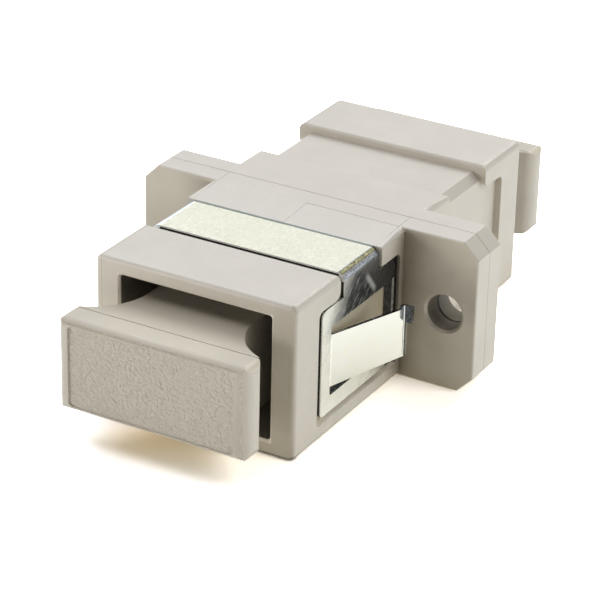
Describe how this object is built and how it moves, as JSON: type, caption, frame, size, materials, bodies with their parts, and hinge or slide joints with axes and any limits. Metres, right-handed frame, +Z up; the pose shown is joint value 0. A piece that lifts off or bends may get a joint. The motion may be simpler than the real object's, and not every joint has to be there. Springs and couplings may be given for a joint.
{
  "type": "sc fibre adapter",
  "caption": "Beige flanged fibre adapter body with a sprung steel panel clip and a dust plug in each socket.",
  "frame": {"origin": "on the fibre axis, in the plane where the two half housings meet, which is the centre of the flange", "axes": "+Y along the fibre axis from the clip side to the plain side, +X across the flange towards one mounting hole, +Z up, away from the face with the keyways"},
  "size_m": [0.022, 0.036, 0.0094],
  "materials": {
    "housing_plastic": "satin moulded beige plastic",
    "insert_plastic": "plain moulded off-white plastic",
    "sleeve_ceramic": "ground white ceramic",
    "clip_steel": "rolled stainless spring sheet with bright cut edges",
    "plug_plastic": "soft beige plastic with a fine-grained grip"
  },
  "bodies": {
    "adapter": {"front_housing": "housing_plastic", "rear_housing": "housing_plastic", "front_latch_insert": "insert_plastic", "rear_latch_insert": "insert_plastic", "alignment_sleeve": "sleeve_ceramic", "panel_clip": "clip_steel"},
    "front_plug": {"front_dust_plug": "plug_plastic"},
    "rear_plug": {"rear_dust_plug": "plug_plastic"}
  },
  "joints": [
    {"name": "front_plug_slide", "type": "slide", "parent": "adapter", "child": "front_plug", "axis": [0, -1, 0], "range_m": [0, 0.012]},
    {"name": "rear_plug_slide", "type": "slide", "parent": "adapter", "child": "rear_plug", "axis": [0, 1, 0], "range_m": [0, 0.012]}
  ]
}
